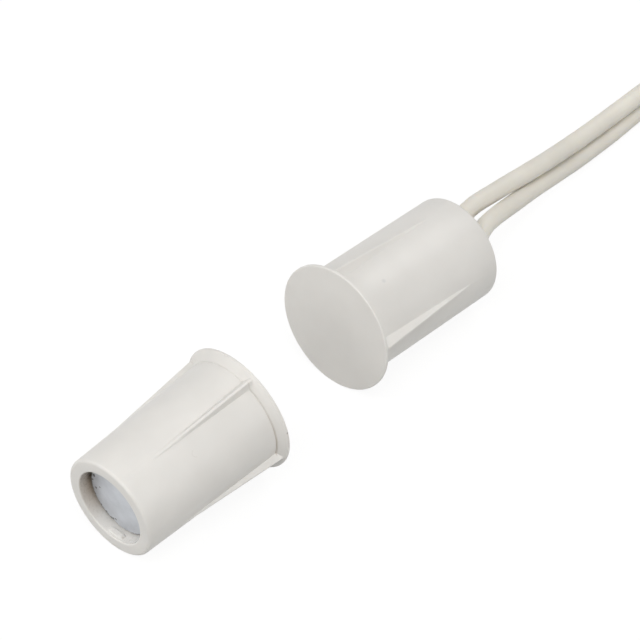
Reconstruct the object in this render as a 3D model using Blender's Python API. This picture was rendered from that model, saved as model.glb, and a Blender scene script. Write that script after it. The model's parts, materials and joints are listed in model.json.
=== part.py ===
"""A recessed magnetic contact: a press-in switch half with two leads, and its press-in magnet half.

The two halves lie on a table as a pair, almost in line, with their flanges facing each other.
X runs along the pair towards the leads, Z is up, and the origin is on the table under the middle
of the pair. Each half is modelled along its own axis, x from the face of its flange to its rear
end, and an empty lays it on the table.
"""

import math

import bmesh
import bpy
from mathutils import Matrix, Vector

MM = 0.001
MERGE_DISTANCE = 0.0005 * MM
SHARP_ANGLE = math.radians(32.0)

# Moulded shell, the same for both halves but for the draft of the body
BODY_LENGTH = 15.0 * MM
FLANGE_RADIUS = 5.78 * MM
RIM_THICKNESS = 0.25 * MM
RIM_ROUND = 0.10 * MM
FLANGE_DEPTH = 0.80 * MM
REAR_RADIUS = 4.70 * MM
SWITCH_FRONT_RADIUS = 4.81 * MM
MAGNET_FRONT_RADIUS = 4.98 * MM
REAR_ROUND = 0.30 * MM
BORE_RADIUS = 3.50 * MM
BORE_CHAMFER = 0.12 * MM
FACE_THICKNESS = 1.20 * MM
ROUND_STEPS = 4
TURN_STEPS = 64

# Grip ribs, wedges that rise from the body to the flange
RIB_COUNT = 4
RIB_LENGTH = 11.6 * MM
RIB_CREST_RADIUS = 5.62 * MM
RIB_CREST_WIDTH = 0.40 * MM
RIB_ROOT_WIDTH = 0.56 * MM
RIB_SINK = 0.50 * MM
SWITCH_RIB_CLOCK = math.radians(9.0)
MAGNET_RIB_CLOCK = math.radians(22.0)

# Magnet and the nibs that hold it in its bore
SEAT_GAP = 0.10 * MM
MAGNET_RECESS = 1.15 * MM
MAGNET_EDGE = 0.15 * MM
NIB_CLOCKS = (math.radians(0.0), math.radians(180.0))
NIB_FROM_MOUTH = 0.50 * MM
NIB_HEIGHT = 0.22 * MM
NIB_HALF_LENGTH = 0.32 * MM
NIB_HALF_WIDTH = 0.70 * MM

# Reed switch: a glass capsule with a flattened wire sealed into each end, as long as the bore allows
CAPSULE_RADIUS = 0.95 * MM
CAPSULE_WALL = 0.20 * MM
CAPSULE_SEAL = 0.80 * MM
CAPSULE_SHOULDER = 0.40 * MM
CAPSULE_SIDES = 24
REED_WIRE_RADIUS = 0.20 * MM
REED_WIRE_GAP = 0.06 * MM
BLADE_HALF_WIDTH = 0.36 * MM
BLADE_HALF_THICKNESS = 0.06 * MM
BLADE_START = 0.96 * MM
BLADE_FLATTENING = 0.80 * MM
BLADE_OVERLAP = 0.80 * MM
CONTACT_GAP = 0.10 * MM

# Splices and the stripped conductors between the reed switch and the leads
SPLICE_LENGTH = 1.20 * MM
SPLICE_RADIUS = 0.46 * MM
SPLICE_GRIP = 0.48 * MM
SPLICE_TO_LOOP = 0.12 * MM
SPLICE_TO_GLASS = 0.20 * MM
SPLICE_SIDES = 16
CONDUCTOR_RADIUS = 0.25 * MM
RETURN_OFFSET = 1.70 * MM
CONDUCTOR_LEAD_OUT = 0.20 * MM
CONDUCTOR_FALL = 0.80 * MM
CONDUCTOR_SIDES = 12
LOOP_STEPS = 8

# Potting compound that fills the switch bore
POTTING_RECESS = 0.40 * MM
POTTING_CLEARANCE = 0.08 * MM
HALF_STEP = 0.5

# Leads: two insulated wires, cut to the same length, with bare tinned ends
LEAD_RADIUS = 0.80 * MM
LEAD_OFFSET = 1.25 * MM
LEAD_SOCKET_DEPTH = 0.90 * MM
LEAD_STRAIGHT = 1.20 * MM
LEAD_LENGTH = 300.0 * MM
TIP_LENGTH = 5.0 * MM
TIP_RADIUS = 0.33 * MM
TIP_GAP = 0.05 * MM
TUBE_STEP = 3.2 * MM
ROUTE_PARTS = 24

# Routes of the leads from the rear of the switch half to the hank, chosen by hand, in millimetres
ROUTE_A = (
    (24.9, 2.58, 4.72),
    (28.2, 2.46, 4.66),
    (31.9, 2.38, 4.26),
    (34.8, 2.60, 3.62),
    (37.7, 2.88, 3.02),
    (40.6, 3.06, 2.62),
    (43.4, 3.14, 2.48),
    (46.4, 3.15, 2.50),
    (49.2, 3.20, 2.52),
    (51.2, 3.86, 2.42),
    (52.8, 4.66, 1.84),
    (54.5, 4.92, 1.06),
)
ROUTE_B = (
    (24.2, 0.14, 4.68),
    (26.2, 0.60, 4.28),
    (29.4, 1.24, 3.42),
    (32.7, 1.92, 2.40),
    (35.8, 2.36, 1.62),
    (38.7, 2.62, 1.10),
    (41.5, 2.79, 0.88),
    (44.2, 2.89, 0.82),
    (47.0, 3.05, 0.82),
    (50.4, 3.18, 0.82),
    (53.4, 3.22, 0.82),
)

# Hank: the rest of both leads, wound side by side in long flat turns and tied. Lead A takes the
# outer track, and the inner lead B has a tail left over on top
HANK_START = 59.0 * MM
TRACK_A = 4.90 * MM
TRACK_B = 3.25 * MM
TRACK_LIFT = 0.02 * MM
LAYER_PITCH = 1.65 * MM
LAYERS = 4
LEAD_IN = 39.4 * MM
LAST_RUN_SHORT = 2.4 * MM
TAIL_CLEARANCE = 0.08 * MM
FOLD_STEPS = 12

# Tie round the hank
TIE_WIDTH = 3.0 * MM
TIE_THICKNESS = 0.30 * MM
TIE_CLEARANCE = 0.08 * MM
TIE_TOP_CLEARANCE = 0.20 * MM

# How the pair lies on the table
FLANGE_SPACING = 12.08 * MM
FLANGE_STAGGER = 0.66 * MM
MAGNET_YAW = math.radians(-1.75)

# Finishes: colour, roughness, metallic
FINISHES = {
    "housing_plastic": ((0.745, 0.725, 0.690), 0.42, 0.0),
    "lead_insulation": ((0.680, 0.640, 0.545), 0.45, 0.0),
    "magnet_plating": ((0.400, 0.440, 0.480), 0.38, 1.0),
    "potting_compound": ((0.620, 0.600, 0.550), 0.50, 0.0),
    "capsule_glass": ((0.550, 0.680, 0.600), 0.08, 0.0),
    "reed_alloy": ((0.520, 0.510, 0.500), 0.30, 1.0),
    "tinned_copper": ((0.640, 0.630, 0.620), 0.32, 1.0),
    "splice_metal": ((0.560, 0.550, 0.530), 0.40, 1.0),
    "tie_plastic": ((0.030, 0.030, 0.032), 0.55, 0.0),
}


def clear_scene():
    for item in list(bpy.data.objects):
        bpy.data.objects.remove(item, do_unlink=True)


def finish(name):
    """The Principled material of one finish, made once."""
    material = bpy.data.materials.get(name) or bpy.data.materials.new(name)
    material.use_nodes = True
    colour, roughness, metallic = FINISHES[name]
    shader = material.node_tree.nodes["Principled BSDF"]
    shader.inputs["Base Color"].default_value = (*colour, 1.0)
    shader.inputs["Roughness"].default_value = roughness
    shader.inputs["Metallic"].default_value = metallic
    return material


def add_object(name, data, finish_name, parent=None):
    item = bpy.data.objects.new(name, data)
    bpy.context.collection.objects.link(item)
    data.materials.append(finish(finish_name))
    item.parent = parent
    return item


def add_mesh(name, bm, finish_name, parent=None, smooth=True):
    """A mesh object from a bmesh, with its faces pointing out and its sharp edges kept."""
    bmesh.ops.recalc_face_normals(bm, faces=bm.faces)
    mesh = bpy.data.meshes.new(name)
    bm.to_mesh(mesh)
    bm.free()
    if smooth:
        mesh.shade_smooth()
        mesh.set_sharp_from_angle(angle=SHARP_ANGLE)
    return add_object(name, mesh, finish_name, parent)


def make_helper(item):
    """Marks a solid that only cuts or joins another one."""
    item.hide_render = True
    item.display_type = "WIRE"
    return item


def combine(target, helper, operation):
    modifier = target.modifiers.new(helper.name, "BOOLEAN")
    modifier.operation = operation
    modifier.solver = "EXACT"
    modifier.object = make_helper(helper)


def arc(centre_x, centre_r, radius, start, stop, steps=ROUND_STEPS):
    """Points of a profile's round corner, with angles from the x axis towards the radius."""
    points = []
    for step in range(steps + 1):
        angle = start + (stop - start) * step / steps
        points.append((centre_x + radius * math.cos(angle), centre_r + radius * math.sin(angle)))
    return points


def turned(profile, steps=TURN_STEPS, shift=0.0):
    """A solid of revolution about x, from (x, radius) points. Its edges may be shifted by part of a step."""
    bm = bmesh.new()
    out = direction(math.tau * shift / steps)
    verts = [bm.verts.new(Vector((x, 0.0, 0.0)) + out * radius) for x, radius in profile]
    edges = [bm.edges.new(pair) for pair in zip(verts, verts[1:])]
    if profile[0][1] > 0.0:
        edges.append(bm.edges.new((verts[-1], verts[0])))
    bmesh.ops.spin(
        bm,
        geom=verts + edges,
        cent=(0.0, 0.0, 0.0),
        axis=(1.0, 0.0, 0.0),
        angle=math.tau,
        steps=steps,
        use_merge=True,
    )
    bmesh.ops.remove_doubles(bm, verts=bm.verts, dist=MERGE_DISTANCE)
    return bm


def direction(clock):
    """The unit vector across a half's axis at a clock angle, from its top towards its +y side."""
    return Vector((0.0, math.sin(clock), math.cos(clock)))


def body_radius(x, front_radius):
    """Radius of the drafted body at a distance from the face."""
    share = (x - FLANGE_DEPTH) / (BODY_LENGTH - FLANGE_DEPTH)
    return front_radius + (REAR_RADIUS - front_radius) * share


def shell_profile(front_radius):
    """Half section of a shell: flat face, thin rim, coned back of the flange, body and bore."""
    quarter = math.radians(90.0)
    rim = arc(RIM_ROUND, FLANGE_RADIUS - RIM_ROUND, RIM_ROUND, 2.0 * quarter, quarter)
    corner = arc(
        BODY_LENGTH - REAR_ROUND, REAR_RADIUS - REAR_ROUND, REAR_ROUND, quarter, 0.0
    )
    return [
        (0.0, 0.0),
        *rim,
        (RIM_THICKNESS, FLANGE_RADIUS),
        (FLANGE_DEPTH, front_radius),
        *corner,
        (BODY_LENGTH, BORE_RADIUS + BORE_CHAMFER),
        (BODY_LENGTH - BORE_CHAMFER, BORE_RADIUS),
        (FACE_THICKNESS, BORE_RADIUS),
        (FACE_THICKNESS, 0.0),
    ]


def rib_wedges(front_radius, first_clock):
    """The grip ribs: wedges with a drafted section, sunk into the wall that carries them."""
    bm = bmesh.new()
    start = 0.5 * RIM_THICKNESS
    fall = (RIB_CREST_RADIUS - body_radius(RIB_LENGTH, front_radius)) / (RIB_LENGTH - start)
    root = body_radius(RIB_LENGTH, front_radius) - RIB_SINK
    end = RIB_LENGTH + RIB_SINK
    crest_end = RIB_CREST_RADIUS - fall * (end - start)
    outline = [
        (start, root, RIB_ROOT_WIDTH),
        (start, RIB_CREST_RADIUS, RIB_CREST_WIDTH),
        (end, crest_end, RIB_CREST_WIDTH),
        (end, root, RIB_ROOT_WIDTH),
    ]
    for number in range(RIB_COUNT):
        clock = first_clock + math.tau * number / RIB_COUNT
        out = direction(clock)
        across = direction(clock + math.radians(90.0))
        sides = []
        for sign in (-0.5, 0.5):
            side = []
            for x, radius, width in outline:
                place = Vector((x, 0.0, 0.0)) + out * radius + across * (sign * width)
                side.append(bm.verts.new(place))
            sides.append(side)
        bm.faces.new(sides[0])
        bm.faces.new(reversed(sides[1]))
        for near in range(len(outline)):
            far = (near + 1) % len(outline)
            bm.faces.new((sides[0][near], sides[1][near], sides[1][far], sides[0][far]))
    return bm


def nib_domes():
    """The low domes on the bore wall, just inside the mouth, that the magnet is pushed past."""
    bm = bmesh.new()
    for clock in NIB_CLOCKS:
        size = Matrix.Diagonal((NIB_HALF_LENGTH, NIB_HALF_WIDTH, NIB_HEIGHT, 1.0))
        place = Vector((BODY_LENGTH - NIB_FROM_MOUTH, 0.0, 0.0)) + direction(clock) * BORE_RADIUS
        turn = Matrix.Rotation(-clock, 4, "X")
        bmesh.ops.create_uvsphere(
            bm,
            u_segments=16,
            v_segments=8,
            radius=1.0,
            matrix=Matrix.Translation(place) @ turn @ size,
        )
    return bm


def make_shell(name, front_radius, rib_clock, parent):
    shell = add_mesh(name, turned(shell_profile(front_radius)), "housing_plastic", parent)
    ribs = rib_wedges(front_radius, rib_clock)
    helper = add_mesh(f"{name}_ribs", ribs, "housing_plastic", parent, smooth=False)
    combine(shell, helper, "UNION")
    return shell


def make_magnet_half(parent):
    shell = make_shell("magnet_housing", MAGNET_FRONT_RADIUS, MAGNET_RIB_CLOCK, parent)
    helper = add_mesh("magnet_housing_nibs", nib_domes(), "housing_plastic", parent)
    combine(shell, helper, "UNION")
    start = FACE_THICKNESS + SEAT_GAP
    end = BODY_LENGTH - MAGNET_RECESS
    radius = BORE_RADIUS - SEAT_GAP
    profile = [
        (start, 0.0),
        (start, radius - MAGNET_EDGE),
        (start + MAGNET_EDGE, radius),
        (end - MAGNET_EDGE, radius),
        (end, radius - MAGNET_EDGE),
        (end, 0.0),
    ]
    add_mesh("magnet", turned(profile), "magnet_plating", parent)


def loop_x():
    """Where the return conductor's half loop meets its straight runs, clear of the front wall."""
    return FACE_THICKNESS + SEAT_GAP + 0.5 * RETURN_OFFSET + 2.0 * CONDUCTOR_RADIUS


def front_splice_x():
    """Where the front splice begins, just behind the loop."""
    return loop_x() + SPLICE_TO_LOOP


def capsule_start():
    """Where the glass begins, behind the front splice."""
    return front_splice_x() + SPLICE_LENGTH + SPLICE_TO_GLASS


def lead_stop_x():
    """Where a lead's insulation stops inside the potting."""
    return BODY_LENGTH - POTTING_RECESS - LEAD_SOCKET_DEPTH


def conductor_bend_x():
    """Where the stripped wires leave the line of their leads."""
    return lead_stop_x() - SEAT_GAP - CONDUCTOR_LEAD_OUT


def rear_splice_x():
    """Where the rear splice begins, in front of the bend that its conductor needs."""
    return conductor_bend_x() - CONDUCTOR_FALL - SPLICE_LENGTH


def capsule_end():
    """Where the glass ends, in front of the rear splice."""
    return rear_splice_x() - SPLICE_TO_GLASS


def capsule_profile(grow=0.0):
    """Half section of the glass: a tube drawn in to a seal round the wire at each end."""
    start = capsule_start()
    end = capsule_end()
    hole = REED_WIRE_RADIUS + REED_WIRE_GAP
    neck = hole + CAPSULE_WALL
    inner = CAPSULE_RADIUS - CAPSULE_WALL
    outside = [
        (start, neck),
        (start + CAPSULE_SHOULDER, CAPSULE_RADIUS),
        (end - CAPSULE_SHOULDER, CAPSULE_RADIUS),
        (end, neck),
    ]
    if grow > 0.0:
        grown = [(x, radius + grow) for x, radius in outside]
        return [(start - grow, 0.0), (start - grow, neck + grow), *grown,
                (end + grow, neck + grow), (end + grow, 0.0)]
    inside = [
        (end, hole),
        (end - CAPSULE_SEAL, hole),
        (end - CAPSULE_SEAL - CAPSULE_SHOULDER, inner),
        (start + CAPSULE_SEAL + CAPSULE_SHOULDER, inner),
        (start + CAPSULE_SEAL, hole),
        (start, hole),
    ]
    return outside + inside


def blade_wire(outer_x, seal_x, tip_x, lift):
    """A reed wire: round where it is outside, flattened to a springy blade inside the glass."""
    inward = 1.0 if tip_x > outer_x else -1.0
    round_end = seal_x + inward * BLADE_START
    flat_start = round_end + inward * BLADE_FLATTENING
    stations = [
        (outer_x, REED_WIRE_RADIUS, REED_WIRE_RADIUS, 0.0),
        (round_end, REED_WIRE_RADIUS, REED_WIRE_RADIUS, 0.0),
        (flat_start, BLADE_HALF_WIDTH, BLADE_HALF_THICKNESS, lift),
        (tip_x, BLADE_HALF_WIDTH, BLADE_HALF_THICKNESS, lift),
    ]
    bm = bmesh.new()
    rings = []
    for x, half_width, half_height, z in stations:
        ring = []
        for side in range(CONDUCTOR_SIDES):
            angle = math.tau * side / CONDUCTOR_SIDES
            place = (x, half_width * math.cos(angle), z + half_height * math.sin(angle))
            ring.append(bm.verts.new(place))
        rings.append(ring)
    for ring, after in zip(rings, rings[1:]):
        for side in range(CONDUCTOR_SIDES):
            other = (side + 1) % CONDUCTOR_SIDES
            bm.faces.new((ring[side], ring[other], after[other], after[side]))
    bm.faces.new(rings[0])
    bm.faces.new(reversed(rings[-1]))
    return bm


def smooth_route(points, step):
    """Points about a step apart on a smooth curve through the given ones."""
    points = [Vector(point) for point in points]
    before = points[0] * 2.0 - points[1]
    after = points[-1] * 2.0 - points[-2]
    padded = [before, *points, after]
    fine = []
    for index in range(1, len(padded) - 2):
        p0, p1, p2, p3 = padded[index - 1:index + 3]
        for part in range(ROUTE_PARTS):
            t = part / ROUTE_PARTS
            fine.append(
                0.5 * ((2.0 * p1) + (p2 - p0) * t + (2.0 * p0 - 5.0 * p1 + 4.0 * p2 - p3) * t ** 2
                       + (3.0 * p1 - p0 - 3.0 * p2 + p3) * t ** 3)
            )
    fine.append(points[-1])
    lengths = [0.0]
    for here, there in zip(fine, fine[1:]):
        lengths.append(lengths[-1] + (there - here).length)
    count = max(2, math.ceil(lengths[-1] / step))
    chosen = []
    index = 0
    for number in range(count + 1):
        wanted = lengths[-1] * number / count
        while index < len(fine) - 2 and lengths[index + 1] < wanted:
            index += 1
        share = (wanted - lengths[index]) / (lengths[index + 1] - lengths[index])
        chosen.append(fine[index].lerp(fine[index + 1], min(1.0, share)))
    return chosen


def add_tube(name, points, radius, finish_name, parent=None, resolution=2):
    """A round wire along a line of points, with closed ends."""
    curve = bpy.data.curves.new(name, "CURVE")
    curve.dimensions = "3D"
    curve.bevel_depth = radius
    curve.bevel_resolution = resolution
    curve.use_fill_caps = True
    spline = curve.splines.new("POLY")
    spline.points.add(len(points) - 1)
    for point, place in zip(spline.points, points):
        point.co = (*place, 1.0)
    return add_object(name, curve, finish_name, parent)


def tube_mesh(points, radius):
    """The mesh of a round wire, for cutting room for it."""
    guide = add_tube("guide", points, radius, "tinned_copper")
    mesh = bpy.data.meshes.new_from_object(guide)
    bpy.data.objects.remove(guide, do_unlink=True)
    bm = bmesh.new()
    bm.from_mesh(mesh)
    bpy.data.meshes.remove(mesh)
    bmesh.ops.remove_doubles(bm, verts=bm.verts, dist=MERGE_DISTANCE)
    return bm


def front_conductor():
    """Route of the stripped wire that passes the glass and loops back to the front splice."""
    bend = 0.5 * RETURN_OFFSET
    points = [
        Vector((lead_stop_x() - SEAT_GAP, -LEAD_OFFSET, 0.0)),
        Vector((conductor_bend_x(), -LEAD_OFFSET, 0.0)),
        Vector((conductor_bend_x() - CONDUCTOR_FALL, -RETURN_OFFSET, 0.0)),
    ]
    for step in range(LOOP_STEPS + 1):
        angle = math.pi * step / LOOP_STEPS
        points.append(
            Vector((loop_x() - bend * math.sin(angle), -bend - bend * math.cos(angle), 0.0))
        )
    points.append(Vector((front_splice_x() + SPLICE_GRIP, 0.0, 0.0)))
    return points


def rear_conductor():
    """Route of the stripped wire from the other lead to the rear splice."""
    splice_end = rear_splice_x() + SPLICE_LENGTH
    return [
        Vector((lead_stop_x() - SEAT_GAP, LEAD_OFFSET, 0.0)),
        Vector((conductor_bend_x(), LEAD_OFFSET, 0.0)),
        Vector((splice_end, 0.0, 0.0)),
        Vector((splice_end - SPLICE_GRIP, 0.0, 0.0)),
    ]


def splice_profile(start, grow=0.0):
    """Half section of a splice sleeve, or of the room for it."""
    end = start + SPLICE_LENGTH
    hole = CONDUCTOR_RADIUS + REED_WIRE_GAP
    if grow > 0.0:
        return [(start - grow, 0.0), (start - grow, SPLICE_RADIUS + grow),
                (end + grow, SPLICE_RADIUS + grow), (end + grow, 0.0)]
    return [(start, hole), (start, SPLICE_RADIUS), (end, SPLICE_RADIUS), (end, hole)]


def lead_exit(side):
    """Where a lead crosses the rear face of the potting, along the half's own axis."""
    return Vector((BODY_LENGTH - POTTING_RECESS, side * LEAD_OFFSET, 0.0))


def make_reed_switch(parent):
    start = capsule_start()
    end = capsule_end()
    middle = 0.5 * (start + end)
    lift = 0.5 * CONTACT_GAP + BLADE_HALF_THICKNESS
    reach = 0.5 * BLADE_OVERLAP
    glass = turned(capsule_profile(), CAPSULE_SIDES)
    add_mesh("reed_capsule", glass, "capsule_glass", parent)
    front_end = front_splice_x() + SPLICE_LENGTH - SPLICE_GRIP
    rear_end = rear_splice_x() + SPLICE_GRIP
    front = blade_wire(front_end, start, middle + reach, lift)
    rear = blade_wire(rear_end, end, middle - reach, -lift)
    add_mesh("reed_blade_front", front, "reed_alloy", parent)
    add_mesh("reed_blade_rear", rear, "reed_alloy", parent)
    for name, place in (("splice_front", front_splice_x()), ("splice_rear", rear_splice_x())):
        sleeve = turned(splice_profile(place), SPLICE_SIDES)
        add_mesh(name, sleeve, "splice_metal", parent)
    add_tube("conductor_front", front_conductor(), CONDUCTOR_RADIUS, "tinned_copper", parent)
    add_tube("conductor_rear", rear_conductor(), CONDUCTOR_RADIUS, "tinned_copper", parent)


def make_potting(parent):
    """The compound that fills the bore, moulded round everything that it holds."""
    start = FACE_THICKNESS + SEAT_GAP
    end = BODY_LENGTH - POTTING_RECESS
    radius = BORE_RADIUS - SEAT_GAP
    block = turned([(start, 0.0), (start, radius), (end, radius), (end, 0.0)], shift=HALF_STEP)
    potting = add_mesh("potting", block, "potting_compound", parent)
    grow = POTTING_CLEARANCE
    rooms = [
        turned(capsule_profile(grow), CAPSULE_SIDES, HALF_STEP),
        turned(splice_profile(front_splice_x(), grow), SPLICE_SIDES, HALF_STEP),
        turned(splice_profile(rear_splice_x(), grow), SPLICE_SIDES, HALF_STEP),
    ]
    reed_line = [
        Vector((front_splice_x() + 0.5 * SPLICE_LENGTH, 0.0, 0.0)),
        Vector((rear_splice_x() + 0.5 * SPLICE_LENGTH, 0.0, 0.0)),
    ]
    ways = [
        (reed_line, REED_WIRE_RADIUS),
        (front_conductor(), CONDUCTOR_RADIUS),
        (rear_conductor(), CONDUCTOR_RADIUS),
    ]
    for side in (1.0, -1.0):
        inner = Vector((lead_stop_x() - 2.0 * SEAT_GAP, side * LEAD_OFFSET, 0.0))
        outer = lead_exit(side) + Vector((LEAD_RADIUS, 0.0, 0.0))
        ways.append(([inner, outer], LEAD_RADIUS))
    rooms.extend(tube_mesh(points, wire_radius + grow) for points, wire_radius in ways)
    for number, room in enumerate(rooms):
        helper = add_mesh(f"potting_room_{number}", room, "potting_compound", parent)
        combine(potting, helper, "DIFFERENCE")


def hank_run():
    """Length of the hank's straight runs, with which lead A ends just before the last fold."""
    folds = (LAYERS - 0.5) * math.tau * TRACK_A
    return (LEAD_LENGTH - LEAD_IN - folds + LAST_RUN_SHORT) / (2.0 * LAYERS)


def hank_height():
    return top_layer_z() + LEAD_RADIUS


def top_layer_z():
    """Height of the centre line of the hank's last full layer."""
    return TRACK_LIFT + LEAD_RADIUS + (LAYERS - 1) * LAYER_PITCH


def tail_length():
    """What is left of lead B on top of the hank, without its bare end."""
    turns = 2.0 * LAYERS * hank_run() + LAYERS * math.tau * TRACK_B
    return LEAD_LENGTH - LEAD_IN - turns - TIP_LENGTH


def cut_hank(hank, name, low, high):
    """Cuts a box out of the hank, from its lowest to its highest corner."""
    room = bmesh.new()
    size = Matrix.Diagonal((*(high - low), 1.0))
    bmesh.ops.create_cube(room, size=1.0, matrix=Matrix.Translation(0.5 * (low + high)) @ size)
    combine(hank, add_mesh(name, room, "lead_insulation", smooth=False), "DIFFERENCE")


def make_hank():
    """The outer shape of the wound leads: a bar with round ends and room for the tie and tip A."""
    reach = TRACK_A + LEAD_RADIUS
    run = hank_run()
    bm = bmesh.new()
    outline = []
    for centre, first in ((HANK_START, math.radians(90.0)), (HANK_START + run, math.radians(270.0))):
        for step in range(FOLD_STEPS + 1):
            angle = first + math.pi * step / FOLD_STEPS
            place = (centre + reach * math.cos(angle), reach * math.sin(angle), TRACK_LIFT)
            outline.append(bm.verts.new(place))
    floor = bm.faces.new(outline)
    grown = bmesh.ops.extrude_face_region(bm, geom=[floor])
    top = [item for item in grown["geom"] if isinstance(item, bmesh.types.BMVert)]
    bmesh.ops.translate(bm, verts=top, vec=(0.0, 0.0, hank_height() - TRACK_LIFT))
    hank = add_mesh("lead_hank", bm, "lead_insulation")
    middle = HANK_START + 0.5 * run
    half_tie = 0.5 * TIE_WIDTH + TIE_CLEARANCE
    cut_hank(
        hank,
        "room_under_tie",
        Vector((middle - half_tie, -2.0 * reach, -TIE_THICKNESS)),
        Vector((middle + half_tie, 2.0 * reach, TIE_THICKNESS + TIE_CLEARANCE)),
    )
    tip_end = HANK_START + LAST_RUN_SHORT
    cut_hank(
        hank,
        "room_for_tip",
        Vector((tip_end - TIP_GAP, -2.0 * reach, top_layer_z() - LEAD_RADIUS)),
        Vector((tip_end + TIP_LENGTH, LEAD_RADIUS - TRACK_A, 2.0 * hank_height())),
    )


def tail_z():
    """Height of lead B's tail, on top of the hank's last full layer."""
    return hank_height() + TAIL_CLEARANCE + LEAD_RADIUS


def make_tie():
    """A flat strap round the hank and the tail that lies on it."""
    side = TRACK_A + LEAD_RADIUS + TIE_CLEARANCE
    shoulder = hank_height() + TIE_TOP_CLEARANCE
    top = tail_z() + LEAD_RADIUS + TIE_TOP_CLEARANCE
    inner = [
        (-side, TIE_THICKNESS),
        (side, TIE_THICKNESS),
        (side, shoulder),
        (TRACK_B + LEAD_RADIUS, top),
        (TRACK_B - LEAD_RADIUS, top),
        (-side, shoulder),
    ]
    start = HANK_START + 0.5 * hank_run() - 0.5 * TIE_WIDTH
    bm = bmesh.new()
    rings = []
    for x in (start, start + TIE_WIDTH):
        rings.append([bm.verts.new((x, y, z)) for y, z in inner])
    for near in range(len(inner)):
        far = (near + 1) % len(inner)
        bm.faces.new((rings[0][near], rings[0][far], rings[1][far], rings[1][near]))
    tie = add_mesh("hank_tie", bm, "tie_plastic", smooth=False)
    strap = tie.modifiers.new("strap", "SOLIDIFY")
    strap.thickness = TIE_THICKNESS
    strap.offset = 1.0
    strap.use_even_offset = True


def make_leads(half):
    """The two leads, from inside the potting to the hank, and their ends on it."""
    laid = half.matrix_basis.copy()
    for letter, side, route in (("a", 1.0, ROUTE_A), ("b", -1.0, ROUTE_B)):
        inner = laid @ Vector((lead_stop_x(), side * LEAD_OFFSET, 0.0))
        free = laid @ (lead_exit(side) + Vector((LEAD_STRAIGHT, 0.0, 0.0)))
        run = smooth_route([free, *(Vector(place) * MM for place in route)], TUBE_STEP)
        add_tube(f"lead_{letter}", [inner, *run], LEAD_RADIUS, "lead_insulation")
    tail_start = Vector((HANK_START, TRACK_B, tail_z()))
    tail_end = tail_start + Vector((tail_length(), 0.0, 0.0))
    tail = smooth_route([tail_start, tail_end], TUBE_STEP)
    add_tube("lead_tail_b", tail, LEAD_RADIUS, "lead_insulation")
    last_a = Vector((HANK_START + LAST_RUN_SHORT + TIP_LENGTH, -TRACK_A, top_layer_z()))
    for letter, stop, onward in (("a", last_a, -1.0), ("b", tail_end, 1.0)):
        tip_start = stop + Vector((onward * TIP_GAP, 0.0, 0.0))
        tip_end = stop + Vector((onward * TIP_LENGTH, 0.0, 0.0))
        add_tube(f"lead_tip_{letter}", [tip_start, tip_end], TIP_RADIUS, "tinned_copper")


def lying_tilt():
    """How far a half's axis leans down to its rear when it lies on its rim and its rear edge."""
    along = BODY_LENGTH - REAR_ROUND - RIM_THICKNESS
    down = FLANGE_RADIUS - (REAR_RADIUS - REAR_ROUND)
    return math.atan2(down, along) - math.asin(REAR_ROUND / math.hypot(down, along))


def lay_half(name, x, y, heading):
    """An empty at the middle of a half's face that lays the half on the table."""
    half = bpy.data.objects.new(name, None)
    bpy.context.collection.objects.link(half)
    tilt = lying_tilt()
    height = RIM_THICKNESS * math.sin(tilt) + FLANGE_RADIUS * math.cos(tilt)
    half.location = (x, y, height)
    half.rotation_euler = (0.0, tilt, heading)
    return half


def main():
    clear_scene()
    aside = 0.5 * FLANGE_STAGGER
    switch_half = lay_half("switch_half", 0.5 * FLANGE_SPACING, aside, 0.0)
    magnet_half = lay_half("magnet_half", -0.5 * FLANGE_SPACING, -aside, math.pi + MAGNET_YAW)
    make_shell("switch_housing", SWITCH_FRONT_RADIUS, SWITCH_RIB_CLOCK, switch_half)
    make_reed_switch(switch_half)
    make_potting(switch_half)
    make_magnet_half(magnet_half)
    make_leads(switch_half)
    make_hank()
    make_tie()


main()
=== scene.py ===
"""Looks of the recessed magnetic contact: a press-in switch half with two leads, and its magnet half.

Each half is built along its own axis, x from the face of its flange to its rear end, and is then laid
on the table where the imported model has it. Lengths are in metres, apart from the routes of the leads.
"""

import json
import math

import bmesh
import bpy
from mathutils import Matrix, Vector, noise


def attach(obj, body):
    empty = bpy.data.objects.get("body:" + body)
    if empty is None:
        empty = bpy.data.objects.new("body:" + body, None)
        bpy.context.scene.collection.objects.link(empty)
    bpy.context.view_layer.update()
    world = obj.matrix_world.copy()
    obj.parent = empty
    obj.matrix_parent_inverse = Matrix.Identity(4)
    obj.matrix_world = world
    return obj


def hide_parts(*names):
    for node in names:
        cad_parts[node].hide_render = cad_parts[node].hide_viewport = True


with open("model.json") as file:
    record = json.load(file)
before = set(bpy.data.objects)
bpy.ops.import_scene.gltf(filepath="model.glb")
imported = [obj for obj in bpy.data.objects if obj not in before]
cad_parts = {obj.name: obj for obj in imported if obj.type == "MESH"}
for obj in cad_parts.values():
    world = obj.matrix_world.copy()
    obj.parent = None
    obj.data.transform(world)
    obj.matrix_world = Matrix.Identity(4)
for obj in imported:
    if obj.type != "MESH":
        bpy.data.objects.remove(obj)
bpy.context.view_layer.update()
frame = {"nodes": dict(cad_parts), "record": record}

MM = 0.001
QUARTER_TURN = math.radians(90.0)
SHARP_ANGLE = math.radians(35.0)
MERGE_DISTANCE = 0.0005 * MM

# Camera: its heading is measured from +Y towards +X, and its drop from the level
VIEW_TARGET = Vector((10.283, 5.985, 0.0)) * MM
VIEW_HEADING = math.radians(46.95)
VIEW_DROP = math.radians(43.95)
VIEW_DISTANCE = 0.630
LENS = 421.9
SENSOR_WIDTH = 36.0

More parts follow.
